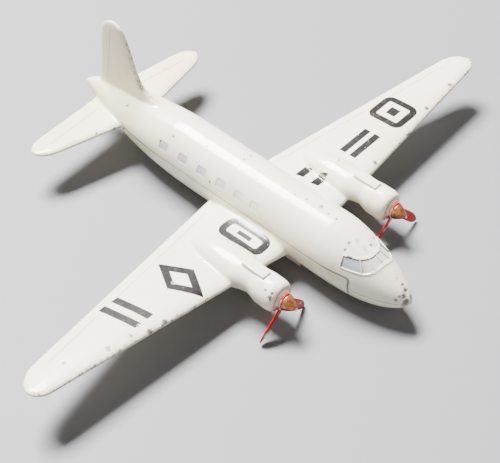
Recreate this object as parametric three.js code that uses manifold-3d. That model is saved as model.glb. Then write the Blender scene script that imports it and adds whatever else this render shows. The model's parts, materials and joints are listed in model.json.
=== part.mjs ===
// Desktop model of a twin-engine, low-wing airliner: two hollow white-metal castings riveted
// together, and on each engine a pressed propeller that turns on a pointed pin.
// Millimetres. +X is the model's port side, -Y its nose, +Z up. The origin is on the surface
// that the model rests on, under the middle of its length.
import * as THREE from 'three';
import { mergeVertices } from 'three/addons/utils/BufferGeometryUtils.js';
import Module from 'manifold-3d';

const wasm = await Module();
wasm.setup();

// ---- driving dimensions ----
const length = 99.8; // nose tip to tail cone tip
const halfSpan = 70.5; // wing tip to centre line
const wall = 1.7; // thickness of both hollow castings
const jointGap = 0.12; // between the edges of the two castings
const facets = 28; // sides of the fuselage and the nacelles
const noseY = -length / 2;
const tailY = length / 2;

const fuselage = {
  halfWidth: 7.2,
  top: 16.8,
  bottom: 1.0,
  noseTipZ: 6.6,
  noseTaper: 21, // length over which the top and the sides close in to the nose
  chinTaper: 14, // the same for the underside
  sideTaper: 35.9, // length over which the sides close in to the tail cone
  topTaper: 33.9,
  bellyTaper: 39.9,
  tailTipZ: 9.4,
  tailTipRadius: 0.2,
  seamZ: 9.6, // the castings part here
  seamFrontY: noseY + 12.1, // ahead of this the upper casting is the whole nose
  seamRearY: tailY - 19.4, // behind this it is the whole tail
};

const wing = {
  rootLeadY: -22.57, rootTrailY: 2.79, // on the centre line
  leadSweep: 0.0963, trailSweep: -0.1693, // aft travel per millimetre of span
  rootLeadZ: 5.76, rootTrailZ: 5.23, leadRise: 0.068, trailRise: 0.0735,
  rootThickness: 3.7, tipThickness: 1.5,
  // the tip's outermost point lies at tipShare of the chord, and each edge rounds in to it
  tipShare: 0.42, leadRound: 3.7, trailRound: 6.0, tipFullness: 2.6,
};

const belly = { centreY: -9.5, length: 27, width: 7.6, chamfer: 0.6 }; // flat pad under the wing

const tailplane = {
  halfSpan: 26.2, z: 9.2,
  rootLeadY: tailY - 20.16, rootTrailY: tailY - 6.49, leadSweep: 0.226, trailSweep: -0.084,
  rootThickness: 2.0, tipThickness: 1.3, tipShare: 0.5, leadRound: 5.6,
  trailRound: 5.6, tipFullness: 2,
};

const fin = {
  top: 32.4, rootThickness: 2.2, tipThickness: 1.3,
  // [distance ahead of the tail cone's tip, z] along each edge, upwards
  lead: [[29.9, 15.2], [25.0, 16.2], [21.2, 17.9], [18.8, 21.5], [16.9, 26.7], [15.1, 30.3],
    [13.8, 31.8], [12.0, 32.4]],
  trail: [[5.7, 12.0], [6.0, 15.2], [6.8, 21.9], [7.6, 28.8], [8.5, 30.8], [9.9, 31.9],
    [11.2, 32.4]],
};

const engine = { x: 18.25, z: 7.64, frontY: -30.3 }; // thrust line, and the front of the cowling
const nacelle = {
  faceRadius: 2.75, cowlRadius: 3.75, // the cowling's flat front, and its barrel
  cowlRearY: engine.frontY + 4.9,
  neckY: engine.frontY + 7.1, neckHalfWidth: 3.35,
  neckTop: engine.z + 3.51, neckBottom: engine.z - 2.69,
  wingHalfWidth: 4.45, // where the fairing is widest, just behind the leading edge
  wingY: wing.rootLeadY + wing.leadSweep * engine.x + 1.61,
  rearY: wing.rootTrailY + wing.trailSweep * engine.x - 4.3, rearZ: engine.z - 0.44,
};
const scoop = {
  width: 2.4, top: engine.z + 4.3, frontY: engine.frontY + 4.2, rearY: engine.frontY + 10.2,
  lean: 0.03, // the roof falls a little towards the front
};

const pin = {
  coneRadius: 1.85, coneLength: 3.0, tipRadius: 0.16,
  shankRadius: 0.8, boreDepth: 7.5,
};
const propeller = {
  thickness: 0.36, hubRadius: 2.0, tipRadius: 10.05,
  rootChord: 1.5, chord: 2.35, pitch: 12, // pitch in degrees from the plane of the disc
  twistedFrom: 0.3, // share of a blade's length over which it takes its pitch
  bladeAngles: [135, 225], // degrees from straight up, towards port
  bentFrom: 3.2, // radius where a knocked blade is bent
};
// At rest, each propeller's turn and how far its blades are knocked forward, in degrees.
const discTurn = { port: 0, starboard: 2.5 };
const bladeLean = { port: [11, 0], starboard: [-3, 0] }; // in the order of bladeAngles
const collar = { rearRadius: 2.45, frontRadius: 2.05, length: 0.62 };
const runningGap = 0.1; // axial play on each side of a propeller and of a collar
const boreGap = 0.08; // radial play of anything on a pin's shank
const pressGap = 0.06; // radial room for the shank in its nacelle and for the rivets
const boreEndGap = 0.3; // between the end of a pin and the end of its bore

const rivet = {
  y: [noseY + 19.4, tailY - 28.9], // front and rear
  headRadius: 2.1, headThickness: 0.8, shankRadius: 1.2,
  bossRadius: 2.6, engagement: 4.2, // length of shank inside the upper casting's boss
};

// ---- shapes ----
const clamp01 = (value) => Math.min(1, Math.max(0, value));
const mix = (from, to, share) => from + (to - from) * share;
const xAxis = new THREE.Vector3(1, 0, 0);
const zAxis = new THREE.Vector3(0, 0, 1);

function solid(geometry) {
  const merged = geometry.clone();
  for (const name of ['normal', 'uv']) merged.deleteAttribute(name);
  const shared = mergeVertices(merged, 1e-5);
  return new wasm.Manifold(new wasm.Mesh({
    numProp: 3,
    vertProperties: new Float32Array(shared.attributes.position.array),
    triVerts: new Uint32Array(shared.index.array),
  }));
}

function geometryOf(body) {
  const mesh = body.getMesh();
  const geometry = new THREE.BufferGeometry();
  geometry.setAttribute('position', new THREE.BufferAttribute(mesh.vertProperties, 3));
  geometry.setIndex(new THREE.BufferAttribute(mesh.triVerts, 1));
  return geometry;
}

// A closed body through rings that all have the same number of points, with flat ends.
function loft(rings) {
  const count = rings[0].length;
  const points = rings.flat();
  const triangles = [];
  for (let ring = 0; ring + 1 < rings.length; ring++) {
    for (let i = 0; i < count; i++) {
      const a = ring * count + i;
      const b = ring * count + (i + 1) % count;
      triangles.push([a, b, b + count], [a, b + count, a + count]);
    }
  }
  for (const [ring, turned] of [[0, true], [rings.length - 1, false]]) {
    const centre = new THREE.Vector3();
    for (const point of rings[ring]) centre.addScaledVector(point, 1 / count);
    points.push(centre);
    for (let i = 0; i < count; i++) {
      const a = ring * count + i;
      const b = ring * count + (i + 1) % count;
      triangles.push(turned ? [points.length - 1, b, a] : [points.length - 1, a, b]);
    }
  }
  let volume = 0;
  for (const [a, b, c] of triangles) {
    volume += points[a].dot(new THREE.Vector3().crossVectors(points[b], points[c]));
  }
  const facingOut = volume > 0 ? triangles : triangles.map(([a, b, c]) => [a, c, b]);
  const geometry = new THREE.BufferGeometry().setFromPoints(points);
  geometry.setIndex(facingOut.flat());
  return geometry;
}

function ovalRing(x, y, halfWidth, top, bottom, sides) {
  const ring = [];
  for (let i = 0; i < sides; i++) {
    const angle = (i / sides) * 2 * Math.PI;
    const z = (top + bottom) / 2 + ((top - bottom) / 2) * Math.sin(angle);
    ring.push(new THREE.Vector3(x + halfWidth * Math.cos(angle), y, z));
  }
  return ring;
}

// Cross-section of a flying surface between its two edges, thickest at a third of its chord.
function foilRing(lead, trail, thickness, normal) {
  const edge = 0.24 * thickness;
  const steps = 8;
  const height = (share) => edge * Math.sqrt(1 - (2 * share - 1) ** 8)
    + (thickness / 2 - edge) * Math.sin(Math.PI * share ** 0.6);
  const ring = [];
  for (let i = 0; i < 2 * steps; i++) {
    const upper = i < steps;
    const share = (1 - Math.cos((Math.PI * (i + 0.5)) / steps)) / 2;
    const point = new THREE.Vector3().lerpVectors(lead, trail, share);
    ring.push(point.addScaledVector(normal, (upper ? 1 : -0.8) * height(share)));
  }
  return ring;
}

function box(width, depth, height, x, y, z) {
  return solid(new THREE.BoxGeometry(width, depth, height).translate(x, y, z));
}

// A round body on an axis parallel to Y: profile holds [radius, y] pairs from one end to the other.
function turned(profile, x, z, sides) {
  const points = profile.map(([radius, y]) => new THREE.Vector2(radius, y));
  return new THREE.LatheGeometry(points, sides).rotateY(Math.PI / sides).translate(x, 0, z);
}

function uprightPin(profile, y, sides) {
  const points = profile.map(([radius, z]) => new THREE.Vector2(radius, z));
  return new THREE.LatheGeometry(points, sides).rotateX(Math.PI / 2).translate(0, y, 0);
}

// ---- fuselage ----
function fuselageSection(y) {
  const { halfWidth, top, bottom, noseTipZ, tailTipZ, tailTipRadius } = fuselage;
  const ahead = clamp01((y - noseY) / fuselage.noseTaper);
  const chin = clamp01((y - noseY) / fuselage.chinTaper);
  const sides = clamp01((y - tailY + fuselage.sideTaper) / fuselage.sideTaper);
  const back = clamp01((y - tailY + fuselage.topTaper) / fuselage.topTaper);
  const under = clamp01((y - tailY + fuselage.bellyTaper) / fuselage.bellyTaper);
  const noseTop = mix(noseTipZ, top, (1 - (1 - ahead) ** 1.5) ** 0.75);
  const noseBottom = mix(noseTipZ, bottom, (1 - (1 - chin) ** 2) ** 0.7);
  const noseSide = (1 - (1 - ahead) ** 1.8) ** 0.62;
  return {
    halfWidth: Math.max(tailTipRadius, halfWidth * noseSide * (1 - sides ** 2) ** 0.85),
    top: Math.max(noseTop - (top - tailTipZ - tailTipRadius) * (0.45 * back + 0.55 * back ** 7),
      noseTipZ + tailTipRadius),
    bottom: Math.min(noseBottom + (tailTipZ - tailTipRadius - bottom) * under ** 1.6,
      y < 0 ? noseTipZ - tailTipRadius : tailTipZ),
  };
}

function fuselageBody(from, to, inset, sides) {
  const steps = 30;
  const rings = [];
  for (let i = 0; i <= steps; i++) {
    // stations crowd towards both ends, where the body curves most
    const y = mix(from, to, (1 - Math.cos((Math.PI * i) / steps)) / 2);
    const { halfWidth, top, bottom } = fuselageSection(y);
    rings.push(ovalRing(0, y, halfWidth - inset, top - inset, bottom + inset, sides));
  }
  return solid(loft(rings));
}

// ---- flying surfaces ----
// One side of a wing or tailplane: straight edges, then a rounded tip.
function panel(side, span, edges, surface) {
  const { tipShare, leadRound, trailRound, tipFullness, rootThickness, tipThickness } = surface;
  const roundLength = Math.max(leadRound, trailRound);
  const roundFrom = span - roundLength;
  const spanwise = [0, 0.35, 0.7, 1].map((share) => roundFrom * share);
  for (const angle of [22, 38, 50, 60, 68, 75, 81, 86]) {
    spanwise.push(roundFrom + roundLength * Math.sin((angle * Math.PI) / 180));
  }
  spanwise.push(span);
  const rounding = (x, reach) => {
    const share = clamp01((x - span + reach) / reach);
    return Math.sqrt(Math.max(0.01, 1 - share ** tipFullness));
  };
  const rings = spanwise.map((x) => {
    const { leadY, trailY, leadZ, trailZ } = edges(x);
    const lead = new THREE.Vector3(side * x, leadY, leadZ);
    const trail = new THREE.Vector3(side * x, trailY, trailZ);
    const tip = new THREE.Vector3().lerpVectors(lead, trail, tipShare);
    lead.lerpVectors(tip, lead, rounding(x, leadRound));
    trail.lerpVectors(tip, trail, rounding(x, trailRound));
    const taper = Math.max(0.35, rounding(x, roundLength) ** 0.5);
    return foilRing(lead, trail, mix(rootThickness, tipThickness, x / span) * taper, zAxis);
  });
  return solid(loft(rings));
}

function wingEdges(x) {
  return {
    leadY: wing.rootLeadY + wing.leadSweep * x,
    trailY: wing.rootTrailY + wing.trailSweep * x,
    leadZ: wing.rootLeadZ + wing.leadRise * x,
    trailZ: wing.rootTrailZ + wing.trailRise * x,
  };
}

function tailplaneEdges(x) {
  return {
    leadY: tailplane.rootLeadY + tailplane.leadSweep * x,
    trailY: tailplane.rootTrailY + tailplane.trailSweep * x,
    leadZ: tailplane.z,
    trailZ: tailplane.z,
  };
}

// The fin is lofted upwards between its two curved edges.
function finBody() {
  const edge = (points) => {
    const curve = new THREE.SplineCurve(points.map(([ahead, z]) => new THREE.Vector2(tailY - ahead, z)));
    const samples = curve.getPoints(60);
    return (z) => {
      const index = samples.findIndex((sample) => sample.y >= z);
      if (index < 1) return samples[index < 0 ? samples.length - 1 : 0].x;
      const [below, above] = [samples[index - 1], samples[index]];
      return mix(below.x, above.x, (z - below.y) / (above.y - below.y));
    };
  };
  const lead = edge(fin.lead);
  const trail = edge(fin.trail);
  const foot = fin.lead[0][1] - 1.2;
  const rings = [];
  for (const share of [0, 0.07, 0.13, 0.2, 0.3, 0.45, 0.62, 0.78, 0.88, 0.94, 0.975, 1]) {
    const z = mix(foot, fin.top, share);
    const thickness = mix(fin.rootThickness, fin.tipThickness, share) * (share === 1 ? 0.5 : 1);
    rings.push(foilRing(new THREE.Vector3(0, lead(z), z), new THREE.Vector3(0, trail(z), z),
      thickness, xAxis));
  }
  return solid(loft(rings));
}

// ---- engine nacelles ----
function nacelleBody(side) {
  const { x, z, frontY } = engine;
  const { faceRadius, cowlRadius, cowlRearY, neckY, neckHalfWidth, neckTop, neckBottom } = nacelle;
  const rings = [];
  const ring = (y, halfWidth, top, bottom) => rings.push(
    ovalRing(side * x, y, halfWidth, top, bottom, facets - 4));
  // cowling: flat face, rounded lip, barrel
  ring(frontY, faceRadius, z + faceRadius, z - faceRadius);
  for (const angle of [25, 50, 75, 90]) {
    const turn = (angle * Math.PI) / 180;
    const radius = faceRadius + (cowlRadius - faceRadius) * Math.sin(turn);
    ring(frontY + 2.1 * (1 - Math.cos(turn)), radius, z + radius, z - radius);
  }
  ring(cowlRearY, cowlRadius, z + cowlRadius, z - cowlRadius);
  ring(neckY, neckHalfWidth, neckTop, neckBottom);
  // fairing: swells on to the wing, then runs out to a point over its trailing half
  const steps = 9;
  for (let i = 0; i <= steps; i++) {
    const share = i / steps;
    const y = mix(nacelle.wingY, nacelle.rearY, share);
    const close = Math.sqrt(Math.max(0.003, 1 - share ** 2.2));
    ring(y, nacelle.wingHalfWidth * close, mix(nacelle.rearZ, neckTop + 0.1, close ** 0.8),
      mix(nacelle.rearZ - 0.6, neckBottom - 0.9, close ** 1.4));
  }
  const intakeLength = scoop.rearY - scoop.frontY;
  const intake = solid(new THREE.BoxGeometry(scoop.width, intakeLength, 2)
    .translate(0, -intakeLength / 2, -1).rotateX(scoop.lean)
    .translate(side * x, scoop.rearY, scoop.top));
  return solid(loft(rings)).add(intake);
}

function pinBore(side) {
  const radius = pin.shankRadius + pressGap;
  const { frontY } = engine;
  return solid(turned([[0, frontY - 1], [radius, frontY - 1], [radius, frontY + pin.boreDepth],
    [0, frontY + pin.boreDepth]], side * engine.x, engine.z, 20));
}

// ---- castings ----
function boss(y, radius, from, to) {
  return solid(uprightPin([[0, from], [radius, from], [radius, to], [0, to]], y, 20));
}

function hollow(inset = wall) {
  const from = fuselage.seamFrontY - 3.5;
  const to = fuselage.seamRearY + 1.5;
  return fuselageBody(from, to, inset, facets - 8);
}

// The part of the body that the lower casting fills: below the seam, between its two end joints.
function lowerZone(margin) {
  const { seamFrontY, seamRearY, seamZ } = fuselage;
  const depth = 20;
  const from = seamFrontY - margin;
  const to = seamRearY + margin;
  return box(60, to - from, depth, 0, (from + to) / 2, seamZ + margin - depth / 2);
}

function bellyPad() {
  const { centreY, width, chamfer } = belly;
  const half = belly.length / 2;
  const outline = new THREE.Shape([[-half + chamfer, 0], [half - chamfer, 0], [half, chamfer],
    [half, fuselage.bottom + wall], [-half, fuselage.bottom + wall], [-half, chamfer]]
    .map(([y, z]) => new THREE.Vector2(y, z)));
  const plate = new THREE.ExtrudeGeometry(outline, { depth: width, bevelEnabled: false });
  plate.rotateX(Math.PI / 2).rotateZ(Math.PI / 2).translate(-width / 2, centreY, 0);
  return solid(plate);
}

function rivetFloor(y) {
  return fuselageSection(y).bottom; // outside of the belly at a rivet
}

function upperCasting() {
  const body = fuselageBody(noseY, tailY, 0, facets);
  let casting = body.subtract(lowerZone(jointGap / 2)).subtract(hollow());
  for (const y of rivet.y) {
    const foot = rivetFloor(y) + wall + jointGap;
    const column = boss(y, rivet.bossRadius, foot, fuselage.top - wall / 2);
    const roofEnd = column.intersect(body).subtract(lowerZone(jointGap / 2));
    casting = casting.add(column.intersect(hollow(wall + jointGap))).add(roofEnd);
    casting = casting.subtract(boss(y, rivet.shankRadius + pressGap, foot - 1,
      foot + rivet.engagement + pressGap));
  }
  for (const side of [1, -1]) {
    casting = casting.add(panel(side, tailplane.halfSpan, tailplaneEdges, tailplane));
  }
  return casting.add(finBody()).subtract(tailRoom());
}

// Clears the part of the tailplane's root that would reach into the lower casting.
function tailRoom() {
  const { seamRearY, seamZ } = fuselage;
  const depth = 10;
  return box(8, 12, depth, 0, seamRearY - 6 + jointGap / 2, seamZ - depth / 2);
}

function lowerCasting() {
  const zone = lowerZone(-jointGap / 2);
  let casting = fuselageBody(noseY, tailY, 0, facets).intersect(zone).add(bellyPad());
  for (const side of [1, -1]) {
    casting = casting.add(panel(side, halfSpan, wingEdges, wing));
    casting = casting.add(nacelleBody(side));
  }
  casting = casting.subtract(hollow());
  for (const side of [1, -1]) casting = casting.subtract(pinBore(side));
  for (const y of rivet.y) {
    const floor = rivetFloor(y);
    casting = casting.subtract(boss(y, rivet.shankRadius + pressGap, floor - 1, floor + wall + 1));
    casting = casting.subtract(boss(y, rivet.headRadius + pressGap, floor - 2,
      floor + rivet.headThickness));
  }
  return casting;
}

function rivetBody(y) {
  const floor = rivetFloor(y);
  const head = floor + rivet.headThickness - pressGap;
  const end = floor + wall + jointGap + rivet.engagement;
  const { headRadius, shankRadius } = rivet;
  return uprightPin([[0, floor], [headRadius - 0.35, floor], [headRadius, floor + 0.3],
    [headRadius, head], [shankRadius, head], [shankRadius, end], [0, end]], y, 20);
}

// ---- propeller group ----
const collarRearY = engine.frontY - runningGap;
const collarFrontY = collarRearY - collar.length;
const discRearY = collarFrontY - runningGap;
const discFrontY = discRearY - propeller.thickness;
const coneBaseY = discFrontY - runningGap;

// These bodies are made about the thrust line at the front of the nacelle, and placed there.
function collarBody() {
  const bore = pin.shankRadius + boreGap;
  const { rearRadius, frontRadius } = collar;
  return turned([[bore, collarFrontY], [frontRadius - 0.1, collarFrontY],
    [frontRadius, collarFrontY + 0.1], [rearRadius, collarRearY], [bore, collarRearY],
    [bore, collarFrontY]], 0, 0, facets);
}

function propellerBody(discAngle, lean) {
  const { thickness, hubRadius, tipRadius, rootChord, chord, pitch } = propeller;
  const { twistedFrom, bladeAngles, bentFrom } = propeller;
  const middle = (discRearY + discFrontY) / 2;
  let body = solid(turned([[0, discFrontY], [hubRadius, discFrontY], [hubRadius, discRearY],
    [0, discRearY]], 0, 0, facets));
  for (const [index, angle] of bladeAngles.entries()) {
    const slope = Math.tan((lean[index] * Math.PI) / 180);
    const rings = [];
    for (const share of [0, 0.15, 0.3, 0.55, 0.75, 0.88, 0.95, 1]) {
      const radius = mix(hubRadius * 0.6, tipRadius, share);
      // flat where it leaves the hub, then twisted out of the plane of the disc
      const spread = clamp01(share / twistedFrom);
      const twist = (-spread * pitch * Math.PI) / 180;
      const along = new THREE.Vector3(Math.cos(twist), Math.sin(twist), 0);
      const normal = new THREE.Vector3(-Math.sin(twist), Math.cos(twist), 0);
      const taper = mix(rootChord, chord, spread);
      const rounded = taper * Math.sqrt(Math.max(0.06, 1 - clamp01((share - 0.55) / 0.45) ** 2.4));
      const ring = [];
      for (const [across, out] of [[-1, 0], [-0.8, 1], [0.8, 1], [1, 0], [0.8, -1], [-0.8, -1]]) {
        ring.push(new THREE.Vector3(0, -slope * Math.max(0, radius - bentFrom), radius)
          .addScaledVector(along, (across * rounded) / 2)
          .addScaledVector(normal, (out * thickness) / 2));
      }
      rings.push(ring);
    }
    const turn = ((angle + discAngle) * Math.PI) / 180;
    body = body.add(solid(loft(rings).rotateY(turn).translate(0, middle, 0)));
  }
  const bore = pin.shankRadius + boreGap;
  return body.subtract(solid(turned([[0, discFrontY - 1], [bore, discFrontY - 1],
    [bore, discRearY + 1], [0, discRearY + 1]], 0, 0, facets)));
}

function pinBody() {
  const { coneRadius, coneLength, tipRadius, shankRadius, boreDepth } = pin;
  const end = engine.frontY + boreDepth - boreEndGap;
  const tipY = coneBaseY - coneLength;
  const profile = [[0, tipY]];
  const steps = 7;
  for (let i = 0; i < steps; i++) {
    const share = i / steps;
    profile.push([mix(tipRadius, coneRadius, Math.sin((share * Math.PI) / 2) ** 0.9),
      mix(tipY + 0.05, coneBaseY - 0.15, share)]);
  }
  profile.push([coneRadius, coneBaseY - 0.15], [coneRadius - 0.1, coneBaseY],
    [shankRadius, coneBaseY], [shankRadius, end - 0.3], [shankRadius - 0.25, end], [0, end]);
  return turned(profile, 0, 0, facets - 8);
}

// ---- assembly ----
const enamel = { color: 0xd9d6c8, roughness: 0.34, metalness: 0 };
const agedEnamel = { color: 0xdedac6, roughness: 0.36, metalness: 0 };
const redPaint = { color: 0xb3201c, roughness: 0.38, metalness: 0 };
const brass = { color: 0xb58a52, roughness: 0.4, metalness: 1 };
const copper = { color: 0xb4705a, roughness: 0.4, metalness: 1 };
const bareMetal = { color: 0x8e8b86, roughness: 0.5, metalness: 1 };

function piece(name, geometry, finish) {
  const mesh = new THREE.Mesh(geometry, new THREE.MeshStandardMaterial(finish));
  mesh.name = name;
  return mesh;
}

const airliner = new THREE.Group();
airliner.add(piece('upper_casting', geometryOf(upperCasting()), enamel));
airliner.add(piece('lower_casting', geometryOf(lowerCasting()), agedEnamel));
airliner.add(piece('front_rivet', rivetBody(rivet.y[0]), bareMetal));
airliner.add(piece('rear_rivet', rivetBody(rivet.y[1]), bareMetal));

for (const [name, side] of [['port', 1], ['starboard', -1]]) {
  const thrustLine = new THREE.Group();
  thrustLine.position.set(side * engine.x, 0, engine.z);
  thrustLine.add(piece(`${name}_collar`, collarBody(), copper));
  const blades = propellerBody(discTurn[name], bladeLean[name]);
  thrustLine.add(piece(`${name}_propeller`, geometryOf(blades), redPaint));
  thrustLine.add(piece(`${name}_spinner_pin`, pinBody(), brass));
  airliner.add(thrustLine);
}

export default airliner;
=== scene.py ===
import json
import math
import bpy
from mathutils import Matrix, Vector


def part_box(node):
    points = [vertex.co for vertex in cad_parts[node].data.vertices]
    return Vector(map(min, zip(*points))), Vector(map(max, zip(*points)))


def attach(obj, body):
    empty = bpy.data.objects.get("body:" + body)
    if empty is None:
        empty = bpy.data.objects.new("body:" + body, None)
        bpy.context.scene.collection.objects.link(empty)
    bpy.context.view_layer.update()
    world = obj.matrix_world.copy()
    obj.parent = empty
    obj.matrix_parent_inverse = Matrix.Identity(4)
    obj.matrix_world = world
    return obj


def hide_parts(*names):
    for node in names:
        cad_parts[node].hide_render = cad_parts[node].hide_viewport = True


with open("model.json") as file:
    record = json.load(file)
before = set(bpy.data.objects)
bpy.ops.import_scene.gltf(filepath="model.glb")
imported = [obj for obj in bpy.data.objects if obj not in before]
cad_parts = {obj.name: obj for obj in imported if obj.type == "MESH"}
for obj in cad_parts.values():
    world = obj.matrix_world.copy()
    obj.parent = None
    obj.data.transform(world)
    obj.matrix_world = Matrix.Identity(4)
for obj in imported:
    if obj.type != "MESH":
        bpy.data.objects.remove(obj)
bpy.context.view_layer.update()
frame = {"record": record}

mm = 0.001  # every size below is in millimetres, as on the castings
upperLow, upperHigh = (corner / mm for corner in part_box("upper_casting"))
noseY, tailY = upperLow.y, upperHigh.y
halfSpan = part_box("lower_casting")[1].x / mm
sides = {"port": 1, "starboard": -1}


# two small sums, then one helper for each step of modelling by hand
def clamp(value):
    return min(1.0, max(0.0, value))


def mix(start, end, share):
    return start + (end - start) * share


def restart():
    if bpy.context.mode != "OBJECT":
        bpy.ops.object.mode_set(mode="OBJECT")
    bpy.ops.object.select_all(action="DESELECT")


def pick(*objs):
    restart()
    for obj in objs:
        obj.select_set(True)
    bpy.context.view_layer.objects.active = objs[-1]
    return objs[-1]


def named(name):
    obj = bpy.context.object
    obj.name = name
    obj.data.name = name
    bpy.ops.object.transform_apply(location=True, rotation=True, scale=True)
    return obj


def edit(obj, what="FACE"):
    pick(obj)
    bpy.ops.object.mode_set(mode="EDIT")
    bpy.ops.mesh.select_mode(type=what)


def grab(obj, what="FACE"):
    # into edit mode with the whole mesh selected
    edit(obj, what)
    bpy.ops.mesh.select_all(action="SELECT")


def done():
    bpy.ops.object.mode_set(mode="OBJECT")
    return bpy.context.object


def addCircle(name, middle, radius, corners):
    # it faces the nose
    restart()
    bpy.ops.mesh.primitive_circle_add(vertices=corners, radius=radius * mm, fill_type="NGON",
                                      location=Vector(middle) * mm, rotation=(math.pi / 2, 0, 0))
    return named(name)


def addBox(name, low, high):
    restart()
    low, high = Vector(low), Vector(high)
    bpy.ops.mesh.primitive_cube_add(size=1, location=(low + high) / 2 * mm, scale=(high - low) * mm)
    return named(name)


def addRod(name, start, end, radius, corners=32):
    restart()
    start, end = Vector(start), Vector(end)
    axis = end - start
    bpy.ops.mesh.primitive_cylinder_add(vertices=corners, radius=radius * mm, depth=axis.length * mm,
                                        location=(start + end) / 2 * mm,
                                        rotation=axis.to_track_quat("Z", "Y").to_euler())
    return named(name)


def extrudeBy(step):
    move = {"value": step * mm, "orient_type": "GLOBAL"}
    bpy.ops.mesh.extrude_region_move(TRANSFORM_OT_translate=move)


def traceOutline(name, points, closed=True):
    # one corner after another, then a face between them
    restart()
    bpy.ops.mesh.primitive_plane_add(size=mm, location=Vector(points[0]) * mm)
    obj = named(name)
    grab(obj, "VERT")
    bpy.ops.mesh.merge(type="CENTER")
    for here, there in zip(points, points[1:]):
        extrudeBy(Vector(there) - Vector(here))
    bpy.ops.mesh.select_all(action="SELECT")
    if closed:
        bpy.ops.mesh.edge_face_add()
    return obj


def pullSections(obj, sections):
    # a section is the point it is scaled about, and its size along x, y and z
    grab(obj)
    point, size = Vector(sections[0][0]), sections[0][1]
    for nextPoint, nextSize in sections[1:]:
        nextPoint = Vector(nextPoint)
        extrudeBy(nextPoint - point)
        ratio = [after / before for after, before in zip(nextSize, size)]
        bpy.ops.transform.resize(value=ratio, center_override=nextPoint * mm)
        point, size = nextPoint, nextSize
    faceOut()
    return done()


def faceOut(within=0.0005):
    # merges what lies this close together, then turns every face outwards
    bpy.ops.mesh.select_all(action="SELECT")
    bpy.ops.mesh.remove_doubles(threshold=within * mm)
    bpy.ops.mesh.normals_make_consistent(inside=False)


def loftRings(name, sections, corners):
    # a round face at the first section, pulled through all the others
    point, size = sections[0]
    body = addCircle(name, point, 1, corners)
    grab(body)
    bpy.ops.transform.resize(value=size, center_override=Vector(point) * mm)
    return pullSections(body, sections)


def bevelEdges(obj, chosen, offset, segments):
    # chosen is asked about the two ends of each edge
    edit(obj, "EDGE")
    bpy.ops.mesh.select_all(action="DESELECT")
    done()
    for edge in obj.data.edges:
        edge.select = chosen(*(obj.data.vertices[i].co / mm for i in edge.vertices))
    bpy.ops.object.mode_set(mode="EDIT")
    bpy.ops.mesh.bevel(offset=offset * mm, segments=segments)
    return done()


def spinProfile(name, profile, middle, steps, upright=False):
    # profile is radius and distance along the axis, from one end round to the other
    middle = Vector(middle)
    if upright:
        points = [middle + Vector((radius, 0, along)) for radius, along in profile]
    else:
        points = [middle + Vector((radius, along, 0)) for radius, along in profile]
    obj = traceOutline(name, points, closed=False)
    onAxis = min(radius for radius, along in profile) < 1e-6
    if not onAxis:
        bpy.ops.mesh.edge_face_add()
        bpy.ops.mesh.delete(type="ONLY_FACE")
        bpy.ops.mesh.select_all(action="SELECT")
    axis = (0, 0, 1) if upright else (0, 1, 0)
    bpy.ops.mesh.spin(steps=steps, angle=2 * math.pi, center=middle * mm, axis=axis)
    faceOut(0.002)
    return done()


def modify(obj, kind, **settings):
    pick(obj)
    bpy.ops.object.modifier_add(type=kind)
    modifier = obj.modifiers[-1]
    for setting, value in settings.items():
        setattr(modifier, setting, value)
    bpy.ops.object.modifier_apply(modifier=modifier.name)
    return obj


def combine(obj, other, operation):
    modify(obj, "BOOLEAN", operation=operation, object=other, solver="MANIFOLD")
    bpy.data.objects.remove(other)
    return obj


def joinAll(name, objs):
    pick(*objs)
    bpy.ops.object.join()
    obj = bpy.context.object
    obj.name = name
    obj.data.name = name
    return obj


def copyOf(obj, name):
    pick(obj)
    bpy.ops.object.duplicate(linked=False)
    twin = bpy.context.object
    twin.name = name
    twin.data.name = name
    return twin


def swell(obj, distance):
    # moves the whole skin out, or in where the distance is below zero
    grab(obj)
    bpy.ops.transform.shrink_fatten(value=distance * mm)
    return done()


def fuse(obj, voxel, rounds):
    # one skin over everything that overlaps, then the voxels' steps are rubbed down
    pick(obj)
    obj.data.remesh_voxel_size = voxel * mm
    obj.data.use_remesh_fix_poles = False
    bpy.ops.object.voxel_remesh()
    return modify(obj, "SMOOTH", factor=0.5, iterations=rounds)


# where the camera stands, in millimetres, and its own right and up
view = {
    "place": (-140.17, -129.43, 191.31),
    "right": (0.67985, -0.73307, 0.02021),
    "up": (0.52021, 0.50149, 0.69129),
    "focalLength": 84.72,
}


def addCamera():
    bpy.ops.object.camera_add(location=Vector(view["place"]) * mm)
    camera = bpy.context.object
    camera.name = "camera"
    right = Vector(view["right"]).normalized()
    back = right.cross(Vector(view["up"])).normalized()
    turn = Matrix((right, back.cross(right), back)).transposed()
    camera.rotation_euler = turn.to_euler()
    camera.data.sensor_width = 36
    camera.data.lens = view["focalLength"]
    camera.data.clip_start = 0.01
    bpy.context.scene.camera = camera


# the airframe is modelled whole, and parted into its two castings later
fuselage = {
    "halfWidth": 7.2, "top": 16.8, "bottom": 1.0,
    "noseTipZ": 6.6, "noseTaper": 21, "chinTaper": 14,
    "sideTaper": 35.9, "topTaper": 33.9, "bellyTaper": 39.9,
    "tailTipZ": 9.4, "tailTipRadius": 0.2,
    "corners": 72, "stations": 56,
}


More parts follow.
